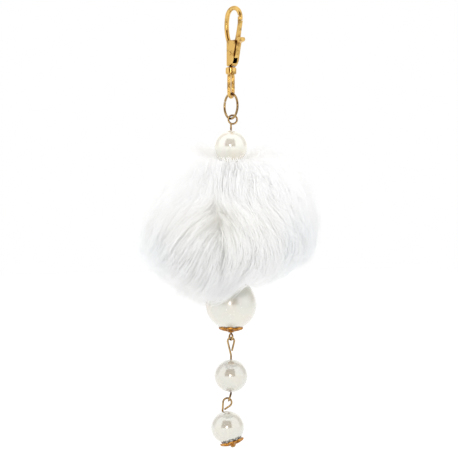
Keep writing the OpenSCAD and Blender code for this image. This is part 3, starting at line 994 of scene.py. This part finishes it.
def math_node(tree, operation, *values, clamp=False):
    n = tree.nodes.new("ShaderNodeMath")
    n.operation = operation
    n.use_clamp = clamp
    for i, v in enumerate(values):
        if isinstance(v, (int, float)):
            n.inputs[i].default_value = v
        else:
            tree.links.new(v, n.inputs[i])
    return n.outputs[0]


def dot_with(tree, vector, direction):
    n = tree.nodes.new("ShaderNodeVectorMath")
    n.operation = "DOT_PRODUCT"
    tree.links.new(vector, n.inputs[0])
    n.inputs[1].default_value = tuple(float(x) for x in direction)
    return n.outputs["Value"]


# Levels of the world's light: on soft surfaces from the side, how much more of it comes from overhead,
# and what polished surfaces mirror.
SKY_LEVEL = 0.84
SKY_RISE = 0.22
GLOSS_LEVEL = 1.25
# How dark the mirrored card is in red, green and blue, how dark the side strips are beside it, and the
# level of the lamp in it.
CARD_DEPTH = (0.80, 0.90, 0.98)
STRIP_SHARE = 0.45
LAMP_LEVEL = 9.0
# Centre right of the front and above it, and half its width and height, in degrees, with its soft edge.
CARD = (-7, 17, 43, 40, 11)
STRIP = (118, 40, 26, 44, 12)
LAMP = (-5.5, 6)
LAMP_HALF, LAMP_SOFT = 7, 3


def make_world():
    """White all round. What shines also mirrors a dark soft-edged card with a small lamp in it, in front
    of the chain, and a dark strip at each side."""
    world = bpy.data.worlds.new("studio")
    world.use_nodes = True
    scene.world = world
    tree = world.node_tree
    tree.nodes.clear()
    out = tree.nodes.new("ShaderNodeOutputWorld")
    coord = tree.nodes.new("ShaderNodeTexCoord").outputs["Generated"]
    x, y, z = (dot_with(tree, coord, d) for d in (RIGHT, UP, TOWARD))
    # Angles right and up of the front, in degrees.
    right = math_node(tree, "MULTIPLY", math_node(tree, "ARCTAN2", x, z), 180 / math.pi)
    up = math_node(tree, "MULTIPLY", math_node(tree, "ARCSINE", y), 180 / math.pi)

    def edge(value, centre, half, soft):
        off = math_node(tree, "ABSOLUTE", math_node(tree, "SUBTRACT", value, centre))
        return math_node(tree, "DIVIDE", math_node(tree, "SUBTRACT", half, off), soft, clamp=True)

    def patch(across, spot):
        x0, y0, half_x, half_y, soft = spot
        return math_node(tree, "MULTIPLY", edge(across, x0, half_x, soft), edge(up, y0, half_y, soft))

    card = patch(right, CARD)
    dx = math_node(tree, "SUBTRACT", right, LAMP[0])
    dy = math_node(tree, "SUBTRACT", up, LAMP[1])
    away = math_node(tree, "SQRT", math_node(tree, "ADD", math_node(tree, "MULTIPLY", dx, dx),
                                             math_node(tree, "MULTIPLY", dy, dy)))
    lamp = math_node(tree, "DIVIDE", math_node(tree, "SUBTRACT", LAMP_HALF, away), LAMP_SOFT, clamp=True)
    strips = patch(math_node(tree, "ABSOLUTE", right), STRIP)
    dark = math_node(tree, "MAXIMUM", card, math_node(tree, "MULTIPLY", strips, STRIP_SHARE))
    # Brighter overhead than at the horizon.
    soft = math_node(tree, "MULTIPLY_ADD", math_node(tree, "MAXIMUM", y, 0.0), SKY_RISE, SKY_LEVEL)

    path = tree.nodes.new("ShaderNodeLightPath")
    colour = tree.nodes.new("ShaderNodeCombineXYZ")
    # The card is a warm brown.
    for channel, depth in enumerate(CARD_DEPTH):
        keep = math_node(tree, "MULTIPLY_ADD", dark, -depth, 1.0)
        mirrored = math_node(tree, "MULTIPLY_ADD", lamp, LAMP_LEVEL,
                             math_node(tree, "MULTIPLY", keep, GLOSS_LEVEL))
        made = soft
        for ray, level in (("Is Glossy Ray", mirrored), ("Is Camera Ray", 1.0)):
            seen = path.outputs[ray]
            others = math_node(tree, "MULTIPLY", made, math_node(tree, "SUBTRACT", 1.0, seen))
            made = math_node(tree, "ADD", others, math_node(tree, "MULTIPLY", seen, level))
        tree.links.new(made, colour.inputs[channel])
    studio = tree.nodes.new("ShaderNodeBackground")
    tree.links.new(colour.outputs[0], studio.inputs["Color"])
    tree.links.new(studio.outputs[0], out.inputs["Surface"])


make_world()


def softbox(name, direction, distance, size, power):
    data = bpy.data.lights.new(name, "AREA")
    data.shape = "SQUARE"
    data.size = size
    data.energy = power
    ob = bpy.data.objects.new(name, data)
    scene.collection.objects.link(ob)
    target = Vector(BALL)
    way = Vector(unit(np.array(direction, float)))
    ob.location = target + way * distance
    ob.rotation_mode = "QUATERNION"
    ob.rotation_quaternion = (-way).to_track_quat("-Z", "Y")
    ob.visible_glossy = False


softbox("key", UP * 0.8 - RIGHT * 0.25 + TOWARD * 0.8, distance=0.9, size=0.6, power=1.5)
softbox("top", UP, distance=0.8, size=0.8, power=0.25)


# The camera: how far out of the front it stands, the height it looks at, and how far left of the pin.
CAMERA_AWAY = 0.905
LOOK_AT_Z = -0.0933
LOOK_LEFT = 0.00086


def make_camera():
    data = bpy.data.cameras.new("camera")
    data.sensor_width = 36
    data.lens = 165.5
    data.clip_start, data.clip_end = 0.01, 20
    ob = bpy.data.objects.new("camera", data)
    scene.collection.objects.link(ob)
    target = np.array([0, 0, LOOK_AT_Z]) - RIGHT * LOOK_LEFT
    ob.location = Vector(target + TOWARD * CAMERA_AWAY)
    ob.rotation_mode = "QUATERNION"
    ob.rotation_quaternion = (-Vector(TOWARD)).to_track_quat("-Z", "Y")
    scene.camera = ob


make_camera()
scene.view_settings.view_transform = "Standard"
scene.view_settings.look = "None"
scene.cycles.max_bounces = 24
scene.cycles.diffuse_bounces = 24
